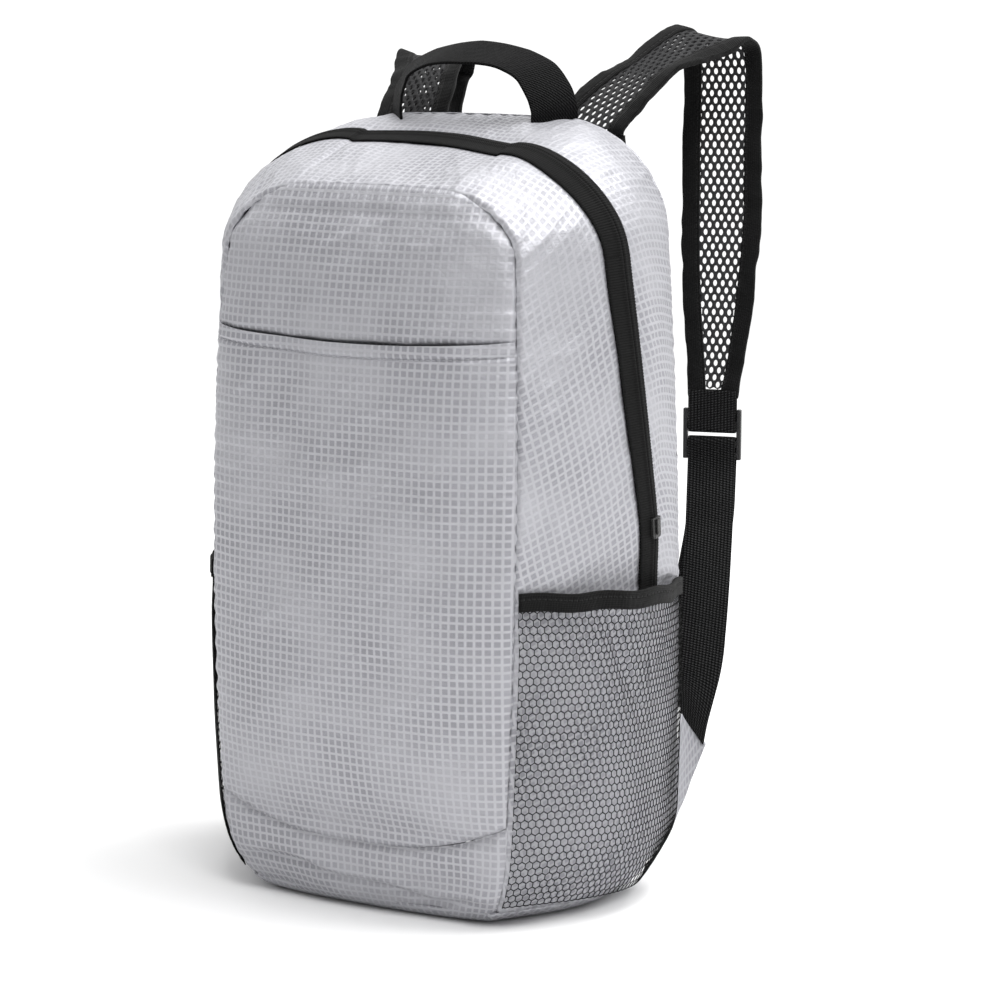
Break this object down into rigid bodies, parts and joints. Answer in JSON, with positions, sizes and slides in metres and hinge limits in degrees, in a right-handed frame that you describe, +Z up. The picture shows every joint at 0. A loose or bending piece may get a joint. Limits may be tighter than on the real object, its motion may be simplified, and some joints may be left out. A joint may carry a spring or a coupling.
{
  "type": "ultralight backpack",
  "caption": "Thin cloth daypack that stands by itself, with an arched coil zip, a front slip pocket, net side pockets, a grab handle and see-through shoulder straps.",
  "frame": {"origin": "on the floor, in the middle of the flat base", "axes": "+Z up, +X towards the wearer's right shoulder strap as seen from the front, the slip pocket faces -Y and the wearer's back is at +Y"},
  "size_m": [0.2712, 0.2437, 0.4658],
  "materials": {
    "silver_cloth": "checked silver-grey polyester with a soft sheen",
    "black_webbing": "ribbed black webbing",
    "black_net": "open black net",
    "black_trim": "black binding and zip tape",
    "black_plastic": "moulded black plastic"
  },
  "bodies": {
    "root": {"front_panel": "silver_cloth", "front_pocket": "silver_cloth", "gusset_front": "silver_cloth", "gusset_rear": "silver_cloth", "zip_tape": "black_trim", "zip_slider": "black_plastic", "back_panel": "silver_cloth", "bottom_panel": "silver_cloth", "mesh_pocket_left": "black_net", "mesh_pocket_right": "black_net", "pocket_binding_left": "black_trim", "pocket_binding_right": "black_trim", "handle": "black_webbing", "strap_mesh_left": "black_net", "strap_mesh_right": "black_net", "strap_binding_inner_left": "black_trim", "strap_binding_inner_right": "black_trim", "strap_binding_outer_left": "black_trim", "strap_binding_outer_right": "black_trim", "ladder_lock_left": "black_plastic", "ladder_lock_right": "black_plastic", "buckle_loop_left": "black_webbing", "buckle_loop_right": "black_webbing", "webbing_left": "black_webbing", "webbing_right": "black_webbing", "strap_tab_left": "silver_cloth", "strap_tab_right": "silver_cloth"}
  },
  "joints": []
}
